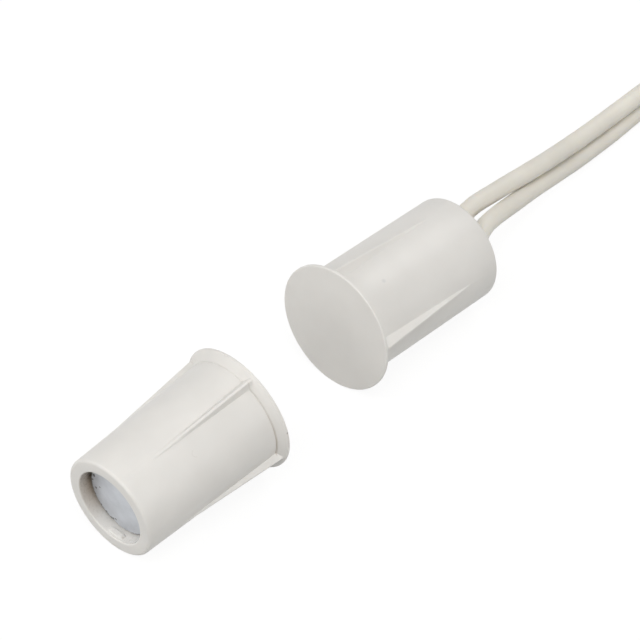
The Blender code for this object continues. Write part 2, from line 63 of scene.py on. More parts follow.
# Lamps: name, heading from +X and height above the table in degrees, power in watts
LAMP_DISTANCE = 0.75
LAMP_SIZE = 0.40
LAMPS = (
    ("left_lamp", 135.0, 30.0, 1.95),
    ("high_lamp", -137.0, 60.0, 2.10),
    ("right_lamp", -90.0, 28.0, 1.40),
    ("front_lamp", 180.0, 22.0, 0.84),
    ("back_lamp", 0.0, 50.0, 1.08),
)

# World: the strength of its light, and of the white that the camera and reflections see instead
WORLD_STRENGTH = 0.235
SEEN_STRENGTH = 1.0
WHITE = (1.0, 1.0, 1.0)

# Floor, with a glow that only the camera, reflections and glass see
FLOOR_RADIUS = 3.0
FLOOR_SIDES = 96
FLOOR_COLOUR = (0.40, 0.40, 0.39)
FLOOR_ROUGHNESS = 0.9
FLOOR_GLOW = 1.29
FLOOR_GLOW_SHARE = 0.70

# How the pair lies on the table
FLANGE_SPACING = 12.08 * MM
FLANGE_STAGGER = 0.66 * MM
MAGNET_YAW = math.radians(-1.75)

# Moulded shell, with a fine crease between the coned back of the flange and the body
BODY_LENGTH = 15.0 * MM
FLANGE_RADIUS = 5.78 * MM
RIM_THICKNESS = 0.25 * MM
RIM_ROUND = 0.10 * MM
FLANGE_DEPTH = 0.80 * MM
CREASE_WIDTH = 0.10 * MM
CREASE_DEPTH = 0.035 * MM
REAR_RADIUS = 4.70 * MM
SWITCH_FRONT_RADIUS = 4.81 * MM
MAGNET_FRONT_RADIUS = 4.98 * MM
REAR_ROUND = 0.30 * MM
BORE_RADIUS = 3.50 * MM
BORE_CHAMFER = 0.12 * MM
FACE_THICKNESS = 1.20 * MM
ROUND_STEPS = 6
ARC_STEPS = 40

# Grip ribs, which rise from the body to the flange, and the places of the rings that shape them
RIB_COUNT = 4
RIB_LENGTH = 11.6 * MM
RIB_CREST_RADIUS = 5.62 * MM
RIB_CREST_WIDTH = 0.24 * MM
RIB_DRAFT = math.radians(26.0)
RIB_FILLET = 0.08 * MM
RIB_FILLET_SHARE = 0.45
RIB_FILLET_STEPS = 4
RIB_EDGE_ROUND = 0.05 * MM
RIB_EDGE_SHARE = 0.30
RIB_EDGE_STEPS = 3
SWITCH_RIB_CLOCK = math.radians(9.0)
MAGNET_RIB_CLOCK = math.radians(22.0)
CONE_RINGS = (0.27 * MM, 0.32 * MM, 0.38 * MM, 0.46 * MM, 0.56 * MM, 0.66 * MM)
RING_STEP = 0.5 * MM

# Nibs inside the mouth of the magnet half's bore
NIB_CLOCKS = (math.radians(0.0), math.radians(180.0))
NIB_FROM_MOUTH = 0.50 * MM
NIB_HEIGHT = 0.22 * MM
NIB_HALF_LENGTH = 0.34 * MM
NIB_HALF_WIDTH = 0.84 * MM
NIB_SQUARENESS = 3.0
NIB_RING_STEP = 0.04 * MM

# Magnet, with most of its edge's wear on one side
SEAT_GAP = 0.10 * MM
MAGNET_RECESS = 1.15 * MM
MAGNET_FACE = BODY_LENGTH - MAGNET_RECESS
MAGNET_EDGE = 0.15 * MM
MAGNET_RINGS = 28
MAGNET_SIDES = 256
EDGE_WEAR = 0.12 * MM
EDGE_WEAR_LEAST = 0.35
EDGE_WEAR_LOOPS = 14.0
EDGE_WEAR_CLOCK = math.radians(-130.0)

# Spots that the photograph shows: place along, across and up a half, radius, strength and colour
SPOT_CORE_SHARE = 0.4
SWITCH_SPOTS = (
    ((3.45 * MM, -2.00 * MM, 4.35 * MM), 0.24 * MM, 0.30, (0.460, 0.480, 0.495)),
)
MAGNET_SPOTS_AND_SHADE = (
    ((0.12 * MM, 5.68 * MM, 1.08 * MM), 0.13 * MM, 0.60, (0.200, 0.160, 0.130)),
    # The next two spots are painted shade at one end of the lower nib in the bore
    ((14.35 * MM, 0.58 * MM, -3.42 * MM), 0.16 * MM, 0.50, (0.330, 0.230, 0.170)),
    ((14.55 * MM, 0.72 * MM, -3.40 * MM), 0.14 * MM, 0.40, (0.330, 0.230, 0.170)),
)

# Scuff on the body of the magnet half, a part of a ring
SCUFF_PLACE = (8.14 * MM, 3.33 * MM, 3.51 * MM)
SCUFF_RADIUS = 0.30 * MM
SCUFF_WIDTH = 0.05 * MM
SCUFF_STRENGTH = 0.45
SCUFF_COLOUR = (0.600, 0.570, 0.520)

# Painted shade and polish on the magnet half, where a fade is the two places between which a mask
# changes
BORE_POLISH = 0.12
BORE_WALL_FADE = (BORE_RADIUS + 0.02 * MM, BORE_RADIUS + 0.10 * MM)
BORE_DEPTH_FADE = (BODY_LENGTH - 2.0 * BORE_RADIUS, BODY_LENGTH - BORE_RADIUS)
# Painted shade on the sheltered side of the bore, darkest near the magnet
BORE_SHADE_SIDE_FADE = (-BORE_RADIUS, -0.55 * BORE_RADIUS)
BORE_SHADE_DEPTH_FADE = (MAGNET_FACE, BODY_LENGTH)
BORE_SHADE_AT_MOUTH = 0.35
BORE_SHADE_COLOUR = (0.450, 0.365, 0.285)
# Painted shade in the corner between the bore wall and the magnet
CORNER_SHADE_DEPTH_FADE = (BODY_LENGTH - 2.0 * BORE_RADIUS, MAGNET_FACE)
CORNER_SHADE_MOUTH_FADE = (MAGNET_FACE, MAGNET_FACE + 0.45 * MM)
CORNER_SHADE_SIDE_FADE = (-3.5 * MM, -2.6 * MM)
CORNER_SHADE_HEIGHT_FADE = (-0.4 * MM, 0.9 * MM)
CORNER_SHADE_STRENGTH = 0.85
CORNER_SHADE_AT_FOOT = 0.10
CORNER_SHADE_COLOUR = (0.075, 0.062, 0.054)
# Painted shade in the crease, stronger lower down
CREASE_LINE_FADE = (0.3 * CREASE_WIDTH, 0.9 * CREASE_WIDTH)
CREASE_SIDE_FADE = (1.9 * MM, 2.1 * MM)
CREASE_FOOT_FADE = (-1.70 * MM, -1.55 * MM)
CREASE_HEIGHT_FADE = (0.0, 3.0 * MM)
CREASE_SHADE_LOW = 0.50
CREASE_SHADE_HIGH = 0.15
CREASE_SHADE_COLOUR = (0.400, 0.330, 0.260)

# Dark spots on the magnet's face, chips in its plating and painted shade where the bore wall meets it:
# place across and up, and size
CHIP_AND_SHADE_SPOTS = (
    (-2.86 * MM, 0.94 * MM, 0.16 * MM),
    (-3.10 * MM, 0.30 * MM, 0.12 * MM),
    (-2.77 * MM, -0.46 * MM, 0.12 * MM),
    (-2.31 * MM, -0.09 * MM, 0.09 * MM),
    (-2.92 * MM, -1.30 * MM, 0.10 * MM),
    (-2.34 * MM, -2.21 * MM, 0.09 * MM),
    (-1.80 * MM, -2.66 * MM, 0.13 * MM),
    (-1.26 * MM, -2.98 * MM, 0.15 * MM),
    (-0.98 * MM, -2.90 * MM, 0.12 * MM),
    (-0.70 * MM, -2.77 * MM, 0.11 * MM),
    (1.30 * MM, -3.02 * MM, 0.12 * MM),
)
DARK_SPOT_RAGGED_SHARE = 0.9
DARK_SPOT_FADE_SHARES = (0.7, 1.1)
CHIP_AND_SHADE_STRENGTH = 0.85
CHIP_AND_SHADE_COLOUR = (0.075, 0.070, 0.066)

# Dark line along one side of the magnet's edge, partly wear and partly painted shade of the gap beside
# the bore wall
WORN_AND_SHADED_EDGE = 3.16 * MM
WORN_AND_SHADED_EDGE_FADE = (WORN_AND_SHADED_EDGE, WORN_AND_SHADED_EDGE + 0.08 * MM)
WORN_AND_SHADED_EDGE_RAGGEDNESS = 0.22 * MM
WORN_AND_SHADED_SIDE_FADE = (-1.6 * MM, -0.4 * MM)
WORN_AND_SHADED_EDGE_STRENGTH = 0.5

# Leads
LEAD_RADIUS = 0.80 * MM
LEAD_OFFSET = 1.25 * MM
POTTING_RECESS = 0.40 * MM
LEAD_SOCKET_DEPTH = 0.90 * MM
LEAD_STRAIGHT = 1.20 * MM
LEAD_LENGTH = 300.0 * MM
LEAD_POINT_STEP = 0.9 * MM
LEAD_BEVEL_STEPS = 6
ROUTE_PARTS = 24

# Bare tips: six strands show round a seventh
TIP_LENGTH = 5.0 * MM
TIP_RADIUS = 0.33 * MM
TIP_GAP = 0.05 * MM
TIP_SIDES = 36
TIP_STEPS = 20
TIP_STRANDS = 6
TIP_GROOVE_SHARE = 0.14
TIP_TWIST = 1.6 * math.pi

# Routes of the leads from the rear of the switch half to the hank, in millimetres
ROUTE_A = (
    (24.9, 2.58, 4.80),
    (28.2, 2.46, 4.76),
    (31.9, 2.38, 4.36),
    (34.8, 2.60, 3.72),
    (37.7, 2.88, 3.12),
    (40.6, 3.06, 2.71),
    (43.4, 3.14, 2.56),
    (46.4, 3.15, 2.55),
    (49.2, 3.20, 2.55),
    (51.2, 3.86, 2.42),
    (52.8, 4.66, 1.84),
    (54.5, 4.92, 1.06),
)
ROUTE_B = (
    (24.2, 0.18, 4.72),
    (26.2, 0.68, 4.36),
    (29.4, 1.27, 3.48),
    (32.7, 1.95, 2.48),
    (35.8, 2.38, 1.68),
    (38.7, 2.63, 1.15),
    (41.5, 2.79, 0.91),
    (44.2, 2.89, 0.82),
    (47.0, 3.05, 0.82),
    (50.4, 3.18, 0.82),
    (53.4, 3.22, 0.82),
)

# Hank of the unseen length
HANK_START = 59.0 * MM
TRACK_A = 4.90 * MM
TRACK_B = 3.25 * MM
TRACK_LIFT = 0.02 * MM
LAYER_PITCH = 1.65 * MM
LAYERS = 4
LEAD_A_BEFORE_HANK = 39.4 * MM
LAST_RUN_SHORT = 2.4 * MM
TAIL_CLEARANCE = 0.08 * MM
FOLD_POINTS = 20
RUN_POINTS = 24

# Shares of a turn's last fold at which each lead starts and ends its climb to the next layer
CLIMB_A = (0.05, 0.72)
CLIMB_B = (0.02, 0.80)

# Tie round the hank, and how the layers lift over the strap below them
TIE_WIDTH = 3.0 * MM
TIE_THICKNESS = 0.30 * MM
TIE_EDGE = 0.05 * MM
TIE_CORNER_STEPS = 6
TIE_CLEARANCE = 0.08 * MM
TIE_TOP_CLEARANCE = 0.20 * MM
TIE_BUMP_REACH = 4.6 * MM
TIE_LAYER_SLACK = 0.05 * MM

# Places of the two colours and of the result among a mix node's sockets
MIX_BELOW = 6
MIX_ABOVE = 7
MIX_RESULT = 2


def make_camera():
    """The camera at the photograph's viewing angle."""
    heading = Vector((math.sin(VIEW_HEADING), math.cos(VIEW_HEADING), 0.0))
    forward = heading * math.cos(VIEW_DROP) + Vector((0.0, 0.0, -math.sin(VIEW_DROP)))
    lens = bpy.data.cameras.new("camera")
    lens.lens = LENS
    lens.sensor_width = SENSOR_WIDTH
    camera = bpy.data.objects.new("camera", lens)
    camera.location = VIEW_TARGET - forward * VIEW_DISTANCE
    camera.rotation_euler = forward.to_track_quat("-Z", "Y").to_euler()
    bpy.context.collection.objects.link(camera)
    bpy.context.scene.camera = camera


def lying_tilt():
    """How far a half's axis leans down to its rear when it lies on its rim and its rear edge."""
    along = BODY_LENGTH - REAR_ROUND - RIM_THICKNESS
    down = FLANGE_RADIUS - (REAR_RADIUS - REAR_ROUND)
    return math.atan2(down, along) - math.asin(REAR_ROUND / math.hypot(down, along))


def lay_half(x, y, heading):
    """Where the middle of a half's face is, and how the half lies on the table."""
    tilt = lying_tilt()
    height = RIM_THICKNESS * math.sin(tilt) + FLANGE_RADIUS * math.cos(tilt)
    turn = Matrix.Rotation(heading, 4, "Z") @ Matrix.Rotation(tilt, 4, "Y")
    return Matrix.Translation((x, y, height)) @ turn


SWITCH_LAID = lay_half(0.5 * FLANGE_SPACING, 0.5 * FLANGE_STAGGER, 0.0)
MAGNET_LAID = lay_half(-0.5 * FLANGE_SPACING, -0.5 * FLANGE_STAGGER, math.pi + MAGNET_YAW)


def direction(clock):
    """The unit vector across a half's axis at a clock angle, from its top towards its +y side."""
    return Vector((0.0, math.sin(clock), math.cos(clock)))


def add_piece(name, data, slot, nodes, laid=None):
    """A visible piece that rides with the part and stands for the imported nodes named."""
    if laid:
        data.transform(laid)
    piece = bpy.data.objects.new(name, data)
    bpy.context.collection.objects.link(piece)
    data.materials.append(MATERIALS[slot])
    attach(piece, "root")
    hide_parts(*nodes)
    return piece


def mesh_from(bm, name):
    """The mesh of a finished bmesh, shaded smooth apart from its sharp edges."""
    bmesh.ops.recalc_face_normals(bm, faces=bm.faces)
    mesh = bpy.data.meshes.new(name)
    bm.to_mesh(mesh)
    bm.free()
    mesh.shade_smooth()
    mesh.set_sharp_from_angle(angle=SHARP_ANGLE)
    return mesh


def add_ring(bm, x, clocks, radii):
    """Vertices round a half's axis at one place along it, each at its clock angle and radius."""
    middle = Vector((x, 0.0, 0.0))
    return [bm.verts.new(middle + direction(clock) * radius) for clock, radius in zip(clocks, radii)]


def join_rings(bm, rings, closed_ends=True):
    """Skins a list of rings with the same number of vertices, and closes the first and last."""
    count = len(rings[0])
    for ring, after in zip(rings, rings[1:]):
        for near in range(count):
            far = (near + 1) % count
            bm.faces.new((ring[near], ring[far], after[far], after[near]))
    if closed_ends:
        bm.faces.new(rings[0])
        bm.faces.new(reversed(rings[-1]))


# Shader helpers

def new_material(name, colour, roughness, metallic=0.0):
    """A material and its Principled shader."""
    material = bpy.data.materials.new(name)
    material.use_nodes = True
    shader = material.node_tree.nodes["Principled BSDF"]
    shader.inputs["Base Color"].default_value = (*colour, 1.0)
    shader.inputs["Roughness"].default_value = roughness
    shader.inputs["Metallic"].default_value = metallic
    return material, shader


def tinted(colour, factor):
    """A colour made lighter or darker by a factor."""
    return tuple(channel * factor for channel in colour)


def add_noise(tree, scale, detail, stretch=(1.0, 1.0, 1.0)):
    """Noise in the object's own coordinates, so it stays with the piece."""
    place = tree.nodes.new("ShaderNodeTexCoord")
    mapping = tree.nodes.new("ShaderNodeMapping")
    mapping.inputs["Scale"].default_value = stretch
    tree.links.new(place.outputs["Object"], mapping.inputs["Vector"])
    texture = tree.nodes.new("ShaderNodeTexNoise")
    texture.inputs["Scale"].default_value = scale
    texture.inputs["Detail"].default_value = detail
    tree.links.new(mapping.outputs["Vector"], texture.inputs["Vector"])
    return texture.outputs["Fac"]


def add_ramp(tree, factor, stops):
    """A colour ramp over a factor, from (position, colour) stops."""
    ramp = tree.nodes.new("ShaderNodeValToRGB")
    elements = ramp.color_ramp.elements
    for element, (position, colour) in zip(elements, (stops[0], stops[-1])):
        element.position = position
        element.color = (*colour, 1.0)
    for position, colour in stops[1:-1]:
        element = elements.new(position)
        element.color = (*colour, 1.0)
    tree.links.new(factor, ramp.inputs["Fac"])
    return ramp.outputs["Color"]


def add_range(tree, factor, first, last, span=(0.0, 1.0)):
    """A value that goes from first to last as the factor crosses the span, and is held outside it."""
    node = tree.nodes.new("ShaderNodeMapRange")
    node.inputs["From Min"].default_value = span[0]
    node.inputs["From Max"].default_value = span[1]
    node.inputs["To Min"].default_value = first
    node.inputs["To Max"].default_value = last
    tree.links.new(factor, node.inputs["Value"])
    return node.outputs["Result"]


def add_bump(tree, shader, factor, distance):
    """Bumps of a given depth on the shader's surface."""
    bump = tree.nodes.new("ShaderNodeBump")
    bump.inputs["Distance"].default_value = distance
    tree.links.new(factor, bump.inputs["Height"])
    tree.links.new(bump.outputs["Normal"], shader.inputs["Normal"])


def add_math(tree, operation, first, second=0.0):
    """A math node on one or two values, each a socket or a number."""
    node = tree.nodes.new("ShaderNodeMath")
    node.operation = operation
    for socket, value in zip(node.inputs, (first, second)):
        if isinstance(value, float):
            socket.default_value = value
        else:
            tree.links.new(value, socket)
    return node.outputs["Value"]


def add_product(tree, first, *others):
    """The product of several masks."""
    product = first
    for other in others:
        product = add_math(tree, "MULTIPLY", product, other)
    return product


def add_gap(tree, value, middle):
    """How far a value is from a middle one, either way."""
    return add_math(tree, "ABSOLUTE", add_math(tree, "SUBTRACT", value, middle))


def add_blend(tree, share, below, above):
    """A colour that goes from one to another by a share, where both are sockets or colours."""
    node = tree.nodes.new("ShaderNodeMix")
    node.data_type = "RGBA"
    tree.links.new(share, node.inputs["Factor"])
    for place, value in ((MIX_BELOW, below), (MIX_ABOVE, above)):
        socket = node.inputs[place]
        if isinstance(value, tuple):
            socket.default_value = (*value, 1.0)
        else:
            tree.links.new(value, socket)
    return node.outputs[MIX_RESULT]


def add_half_axes(tree, laid):
    """The three coordinates of a place along a half's own axes: along it, across it and up."""
    place = tree.nodes.new("ShaderNodeTexCoord")
    mapping = tree.nodes.new("ShaderNodeMapping")
    mapping.vector_type = "TEXTURE"
    mapping.inputs["Location"].default_value = laid.to_translation()
    mapping.inputs["Rotation"].default_value = laid.to_euler()
    tree.links.new(place.outputs["Object"], mapping.inputs["Vector"])
    split = tree.nodes.new("ShaderNodeSeparateXYZ")
    tree.links.new(mapping.outputs["Vector"], split.inputs["Vector"])
    return split.outputs["X"], split.outputs["Y"], split.outputs["Z"]


def add_radius(tree, across, up):
    """Distance from a half's axis."""
    squares = [add_math(tree, "MULTIPLY", value, value) for value in (across, up)]
    return add_math(tree, "POWER", add_math(tree, "ADD", *squares), 0.5)


def add_distance(tree, place):
    """Distance from a fixed place on the part."""
    here = tree.nodes.new("ShaderNodeTexCoord")
    node = tree.nodes.new("ShaderNodeVectorMath")
    node.operation = "DISTANCE"
    node.inputs[1].default_value = place
    tree.links.new(here.outputs["Object"], node.inputs[0])
    return node.outputs["Value"]


# Masks for painted shade, and for marks and wear

def bore_mask(tree):
    """Where the magnet half's bore wall is."""
    along, across, up = add_half_axes(tree, MAGNET_LAID)
    narrow = add_range(tree, add_radius(tree, across, up), 1.0, 0.0, BORE_WALL_FADE)
    behind = add_range(tree, along, 0.0, 1.0, BORE_DEPTH_FADE)
    return add_product(tree, narrow, behind)


def bore_shade_mask(tree):
    """The sheltered side of the magnet half's bore, with painted shade that is darkest near the magnet.
    """
    along, across = add_half_axes(tree, MAGNET_LAID)[:2]
    sheltered = add_range(tree, across, 1.0, 0.0, BORE_SHADE_SIDE_FADE)
    deeper = add_range(tree, along, 1.0, BORE_SHADE_AT_MOUTH, BORE_SHADE_DEPTH_FADE)
    return add_product(tree, sheltered, deeper)


def corner_shade_mask(tree):
    """Painted shade in the corner between the bore wall and the magnet, at the top of its sheltered
    side.
    """
    along, across, up = add_half_axes(tree, MAGNET_LAID)
    behind = add_range(tree, along, 0.0, CORNER_SHADE_STRENGTH, CORNER_SHADE_DEPTH_FADE)
    before = add_range(tree, along, 1.0, 0.0, CORNER_SHADE_MOUTH_FADE)
    aside = add_range(tree, across, 1.0, 0.0, CORNER_SHADE_SIDE_FADE)
    upper = add_range(tree, up, CORNER_SHADE_AT_FOOT, 1.0, CORNER_SHADE_HEIGHT_FADE)
    return add_product(tree, behind, before, aside, upper)


def crease_shade_mask(tree):
    """Painted shade in the crease of the magnet half, from its top rib down to the near one, stronger
    lower down.
    """
    along, across, up = add_half_axes(tree, MAGNET_LAID)
    line = add_range(tree, add_gap(tree, along, FLANGE_DEPTH), 1.0, 0.0, CREASE_LINE_FADE)
    near = add_range(tree, across, 0.0, 1.0, CREASE_SIDE_FADE)
    above = add_range(tree, up, 0.0, 1.0, CREASE_FOOT_FADE)
    lower = add_range(tree, up, CREASE_SHADE_LOW, CREASE_SHADE_HIGH, CREASE_HEIGHT_FADE)
    return add_product(tree, line, near, above, lower)


def scuff_mask(tree):
    """A faint part of a ring on the body of the magnet half."""
    distance = add_distance(tree, MAGNET_LAID @ Vector(SCUFF_PLACE))
    gap = add_gap(tree, distance, SCUFF_RADIUS)
    ring = add_range(tree, gap, SCUFF_STRENGTH, 0.0, (0.0, SCUFF_WIDTH))
    along = add_half_axes(tree, MAGNET_LAID)[0]
    middle = SCUFF_PLACE[0]
    rear_side = add_range(tree, along, 0.0, 1.0, (middle, middle + SCUFF_WIDTH))
    return add_product(tree, ring, rear_side)


def add_spots_and_shade(tree, look, laid, spots):
    """A colour with the spots of one half on it, marks and painted shade, which fade from the edge of
    their cores outwards.
    """
    for place, radius, strength, colour in spots:
        distance = add_distance(tree, laid @ Vector(place))
        share = add_range(tree, distance, strength, 0.0, (SPOT_CORE_SHARE * radius, radius))
        look = add_blend(tree, share, look, colour)
    return look


def chip_and_shade_mask(tree):
    """Where the plating is chipped and where shade beside the bore wall is painted: small ragged spots,
    and a broken line along one side of the edge.
    """
    across, up = add_half_axes(tree, MAGNET_LAID)[1:]
    rough = add_range(tree, add_noise(tree, scale=5200.0, detail=4.0), -1.0, 1.0)
    waves = add_math(tree, "MULTIPLY", rough, WORN_AND_SHADED_EDGE_RAGGEDNESS)
    ragged = add_math(tree, "ADD", add_radius(tree, across, up), waves)
    # A broken dark line at the edge on the sheltered side: wear, with painted shade of the gap beside
    # the bore wall
    worn = add_range(tree, ragged, 0.0, WORN_AND_SHADED_EDGE_STRENGTH, WORN_AND_SHADED_EDGE_FADE)
    sheltered = add_range(tree, across, 1.0, 0.0, WORN_AND_SHADED_SIDE_FADE)
    mask = add_product(tree, worn, sheltered)
    # Dark spots: some are chips, and some are painted shade where the bore wall meets the magnet
    for spot_across, spot_up, size in CHIP_AND_SHADE_SPOTS:
        distance = add_distance(tree, MAGNET_LAID @ Vector((MAGNET_FACE, spot_across, spot_up)))
        waves = add_math(tree, "MULTIPLY", rough, DARK_SPOT_RAGGED_SHARE * size)
        fade = tuple(share * size for share in DARK_SPOT_FADE_SHARES)
        dark_spot = add_range(tree, add_math(tree, "ADD", distance, waves), CHIP_AND_SHADE_STRENGTH, 0.0, fade)
        mask = add_math(tree, "MAXIMUM", mask, dark_spot)
    return mask


# Materials

def housing_material():
    """Satin off-white moulding with a faint mottle and the fine skin of a spark-eroded mould."""
    colour = (0.745, 0.725, 0.690)
    material, shader = new_material("housing_plastic", colour, roughness=0.42)
    tree = material.node_tree
    shader.inputs["Subsurface Weight"].default_value = 0.30
    shader.inputs["Subsurface Radius"].default_value = (1.0, 0.92, 0.84)
    shader.inputs["Subsurface Scale"].default_value = 0.25 * MM
    mottle = add_noise(tree, scale=260.0, detail=3.0)
    stops = ((0.30, tinted(colour, 0.97)), (0.70, tinted(colour, 1.02)))
    look = add_ramp(tree, mottle, stops)
    in_bore = bore_mask(tree)
    # Painted shade, in a warm brown, on the sheltered side of the bore wall
    look = add_blend(tree, add_product(tree, in_bore, bore_shade_mask(tree)), look, BORE_SHADE_COLOUR)
    # Painted shade in the corner between the bore wall and the magnet
    look = add_blend(tree, add_product(tree, in_bore, corner_shade_mask(tree)), look, CORNER_SHADE_COLOUR)
    look = add_blend(tree, scuff_mask(tree), look, SCUFF_COLOUR)
    # Painted shade in the magnet half's crease
    look = add_blend(tree, crease_shade_mask(tree), look, CREASE_SHADE_COLOUR)
    look = add_spots_and_shade(tree, look, SWITCH_LAID, SWITCH_SPOTS)
    # A nick on the rim, and painted shade at one end of a nib in the bore
    look = add_spots_and_shade(tree, look, MAGNET_LAID, MAGNET_SPOTS_AND_SHADE)
    tree.links.new(look, shader.inputs["Base Color"])
    skin = add_noise(tree, scale=5200.0, detail=2.0)
    satin = add_range(tree, skin, 0.36, 0.44)
    polish = add_math(tree, "MULTIPLY", in_bore, BORE_POLISH)
    tree.links.new(add_math(tree, "SUBTRACT", satin, polish), shader.inputs["Roughness"])
    add_bump(tree, shader, skin, 0.0012 * MM)
    return material


def lead_material():
    """Smooth ivory insulation with faint handling marks."""
    colour = (0.750, 0.720, 0.650)
    material, shader = new_material("lead_insulation", colour, roughness=0.45)
    tree = material.node_tree
    shader.inputs["Subsurface Weight"].default_value = 0.50
    shader.inputs["Subsurface Radius"].default_value = (1.0, 0.85, 0.6)
    shader.inputs["Subsurface Scale"].default_value = 0.5 * MM
    marks = add_noise(tree, scale=340.0, detail=3.0)
    stops = ((0.30, tinted(colour, 0.95)), (0.70, tinted(colour, 1.03)))
    tree.links.new(add_ramp(tree, marks, stops), shader.inputs["Base Color"])
    skin = add_noise(tree, scale=2600.0, detail=2.0)
    tree.links.new(add_range(tree, skin, 0.40, 0.54), shader.inputs["Roughness"])
    add_bump(tree, shader, skin, 0.006 * MM)
    return material


def magnet_material():
    """Cool grey plating, clouded and lightly frosted, with dark chips and painted shade along its worn
    edge.
    """
    colour = (0.560, 0.580, 0.615)
    material, shader = new_material("magnet_plating", colour, roughness=0.40, metallic=0.35)
    tree = material.node_tree
    cloud = add_noise(tree, scale=620.0, detail=5.0)
    stops = (
        (0.25, tinted(colour, 0.86)),
        (0.48, colour),
        (0.75, tinted(colour, 1.14)),
    )
    plated = add_ramp(tree, cloud, stops)
    # Chips, with painted shade of the gap beside the bore wall
    look = add_blend(tree, chip_and_shade_mask(tree), plated, CHIP_AND_SHADE_COLOUR)
    tree.links.new(look, shader.inputs["Base Color"])
    grain = add_noise(tree, scale=4200.0, detail=3.0)
    tree.links.new(add_range(tree, grain, 0.30, 0.62), shader.inputs["Roughness"])
    add_bump(tree, shader, grain, 0.012 * MM)
    return material


def potting_material():
    """Cast filler with a slightly uneven skin."""
    colour = (0.620, 0.600, 0.550)
    material, shader = new_material("potting_compound", colour, roughness=0.50)
    tree = material.node_tree
    patches = add_noise(tree, scale=700.0, detail=4.0)
    stops = ((0.30, tinted(colour, 0.90)), (0.70, tinted(colour, 1.05)))
    tree.links.new(add_ramp(tree, patches, stops), shader.inputs["Base Color"])
    waves = add_noise(tree, scale=900.0, detail=2.0)
    add_bump(tree, shader, waves, 0.05 * MM)
    return material


def metal_material(name, colour, roughness):
    """Plain drawn metal: a colour with fine streaks along the part's long axis."""
    material, shader = new_material(name, colour, roughness, metallic=1.0)
    tree = material.node_tree
    streaks = add_noise(tree, scale=2400.0, detail=3.0, stretch=(0.1, 1.0, 1.0))
    stops = ((0.30, tinted(colour, 0.85)), (0.70, tinted(colour, 1.10)))
    tree.links.new(add_ramp(tree, streaks, stops), shader.inputs["Base Color"])
    satin = add_range(tree, streaks, 0.8 * roughness, 1.3 * roughness)
    tree.links.new(satin, shader.inputs["Roughness"])
    return material


def glass_material():
    """Clear greenish glass with the soft waves of a drawn tube."""
    colour = (0.550, 0.680, 0.600)
    material, shader = new_material("capsule_glass", colour, roughness=0.08)
    tree = material.node_tree
    shader.inputs["Transmission Weight"].default_value = 0.9
    shader.inputs["IOR"].default_value = 1.5
    waves = add_noise(tree, scale=500.0, detail=1.0)
    add_bump(tree, shader, waves, 0.01 * MM)
    return material


def tie_material():
    """Black strap with fine grooves round the hank."""
    colour = (0.030, 0.030, 0.032)
    material, shader = new_material("tie_plastic", colour, roughness=0.55)
    tree = material.node_tree
    grooves = add_noise(tree, scale=1500.0, detail=2.0, stretch=(3.0, 0.2, 0.2))
    stops = ((0.30, tinted(colour, 0.80)), (0.70, tinted(colour, 1.35)))
    tree.links.new(add_ramp(tree, grooves, stops), shader.inputs["Base Color"])
    add_bump(tree, shader, grooves, 0.03 * MM)
    return material


def make_materials():
    """Every material by the name of its slot in the record."""
    return {
        "housing_plastic": housing_material(),
        "lead_insulation": lead_material(),
        "magnet_plating": magnet_material(),
        "potting_compound": potting_material(),
        "capsule_glass": glass_material(),
        "reed_alloy": metal_material("reed_alloy", (0.520, 0.510, 0.500), roughness=0.30),
        "tinned_copper": metal_material("tinned_copper", (0.640, 0.630, 0.620), roughness=0.32),
        "splice_metal": metal_material("splice_metal", (0.560, 0.550, 0.530), roughness=0.40),
        "tie_plastic": tie_material(),
    }


# Leads

def smooth_route(points):
    """Fine points on a smooth curve through the given ones."""
    padded = [points[0] * 2.0 - points[1], *points, points[-1] * 2.0 - points[-2]]
    fine = []
    for index in range(1, len(padded) - 2):
        p0, p1, p2, p3 = padded[index - 1:index + 3]
        for part in range(ROUTE_PARTS):
            t = part / ROUTE_PARTS
            fine.append(
                0.5 * ((2.0 * p1) + (p2 - p0) * t + (2.0 * p0 - 5.0 * p1 + 4.0 * p2 - p3) * t ** 2
                       + (3.0 * p1 - p0 - 3.0 * p2 + p3) * t ** 3)
            )
    fine.append(points[-1])
    return fine


def even_points(points, step):
    """Points a fixed step apart along a line, with its last point kept."""
    chosen = [points[0]]
    left = step
    for here, there in zip(points, points[1:]):
        gap = (there - here).length
        walked = 0.0
        while gap - walked > left:
            walked += left
            chosen.append(here.lerp(there, walked / gap))
            left = step
        left -= gap - walked
    if left < 0.5 * step:
        chosen.append(points[-1])
    else:
        chosen[-1] = points[-1]
    return chosen


def cut_line(points, length):
    """The first stretch of a line, of the given length."""
    kept = [points[0]]
    left = length
    for here, there in zip(points, points[1:]):
        gap = (there - here).length
        if gap >= left:
            kept.append(here.lerp(there, left / gap))
            break
        kept.append(there)
        left -= gap
    return kept


def smooth_share(value):
    """Goes from 0 to 1 with level ends."""
    value = min(1.0, max(0.0, value))
    return value * value * (3.0 - 2.0 * value)


def hank_run():
    """Length of the hank's straight runs, with which lead A ends just before the last fold."""
    folds = (LAYERS - 0.5) * math.tau * TRACK_A
    return (LEAD_LENGTH - LEAD_A_BEFORE_HANK - folds + LAST_RUN_SHORT) / (2.0 * LAYERS)


def hank_middle():
    """Where the middle of the hank's straight runs is, and with it the strap."""
    return HANK_START + 0.5 * hank_run()


def layer_z(layer):
    """Height of a layer's centre line, where the one past the last is the tail's."""
    height = TRACK_LIFT + LEAD_RADIUS + min(layer, LAYERS - 1) * LAYER_PITCH
    if layer == LAYERS:
        height += 2.0 * LEAD_RADIUS + TAIL_CLEARANCE
    return height


